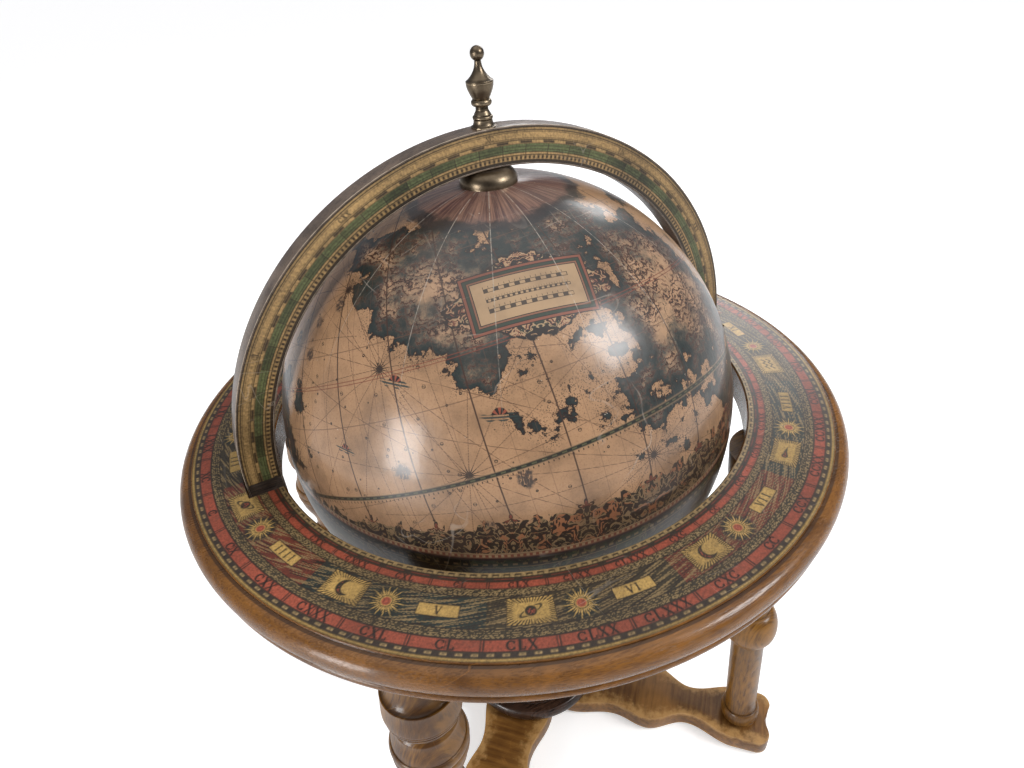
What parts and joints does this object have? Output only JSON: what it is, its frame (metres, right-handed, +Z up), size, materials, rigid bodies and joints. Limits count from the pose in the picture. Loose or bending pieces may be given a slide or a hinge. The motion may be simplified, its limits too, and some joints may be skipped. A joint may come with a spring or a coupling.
{
  "type": "globe with horizon ring and hinged lid",
  "caption": "Antique-style map globe in a printed horizon ring on turned legs; the upper half lifts on a rear hinge as a lid over a bottle and glass rack.",
  "frame": {"origin": "on the floor under the middle of the horizon ring, the globe and the column", "axes": "+Z up along the column and finial; -Y is the front; the lid's hinge is at +Y and its pin lies along X; the meridian arch stands in the X-Z plane"},
  "size_m": [0.3999, 0.4, 0.5143],
  "materials": {
    "stand_wood": "stained beech, golden brown, satin varnish",
    "dark_wood": "dark stained beech, glossy varnish",
    "ring_wood": "red-brown stained wood, glossy varnish",
    "inner_wood": "mahogany stain, satin",
    "arch_wood": "grey-brown stained wood, satin varnish",
    "horizon_paper": "printed calendar sheet under varnish",
    "scale_paper": "printed degree scale under varnish",
    "lid_print": "pressed board shell with a printed map, glossy varnish",
    "bowl_print": "pressed board shell with a dark printed sky, glossy varnish",
    "aged_brass": "aged brass, worn bright on the edges",
    "steel": "zinc plated",
    "felt": "wool felt"
  },
  "bodies": {
    "stand": {"stretcher_lower": "stand_wood", "stretcher_upper": "stand_wood", "leg_front_left": "stand_wood", "leg_front_right": "stand_wood", "leg_back_right": "stand_wood", "leg_back_left": "stand_wood", "leg_screws": "steel", "ring_dowels": "inner_wood", "felt_pads": "felt", "hub_rosette": "dark_wood", "column": "dark_wood", "column_washer": "steel", "column_screw": "steel", "horizon_ring": "ring_wood", "horizon_print": "horizon_paper", "bowl_shell": "bowl_print", "bowl_rim_band": "inner_wood", "bowl_washer": "steel", "bowl_screw": "steel", "rack_floor": "inner_wood", "rack_posts": "dark_wood", "rack_plate": "inner_wood", "hinge_leaf_bowl": "aged_brass", "hinge_pin": "aged_brass", "hinge_screws_bowl": "aged_brass"},
    "lid": {"lid_shell": "lid_print", "lid_rim_band": "inner_wood", "hinge_leaf_lid": "aged_brass", "hinge_screws_lid": "aged_brass", "meridian_arch": "arch_wood", "meridian_scale_front": "scale_paper", "meridian_scale_back": "scale_paper", "pole_cap": "aged_brass", "finial": "aged_brass", "pole_rod": "steel", "pole_block": "inner_wood", "pole_washer": "steel", "pole_nut": "steel"}
  },
  "joints": [
    {"name": "lid_hinge", "type": "hinge", "parent": "stand", "child": "lid", "pos_m": [0, 0.1406, 0.3133], "axis": [-1, 0, 0], "range_deg": [0, 90]}
  ]
}
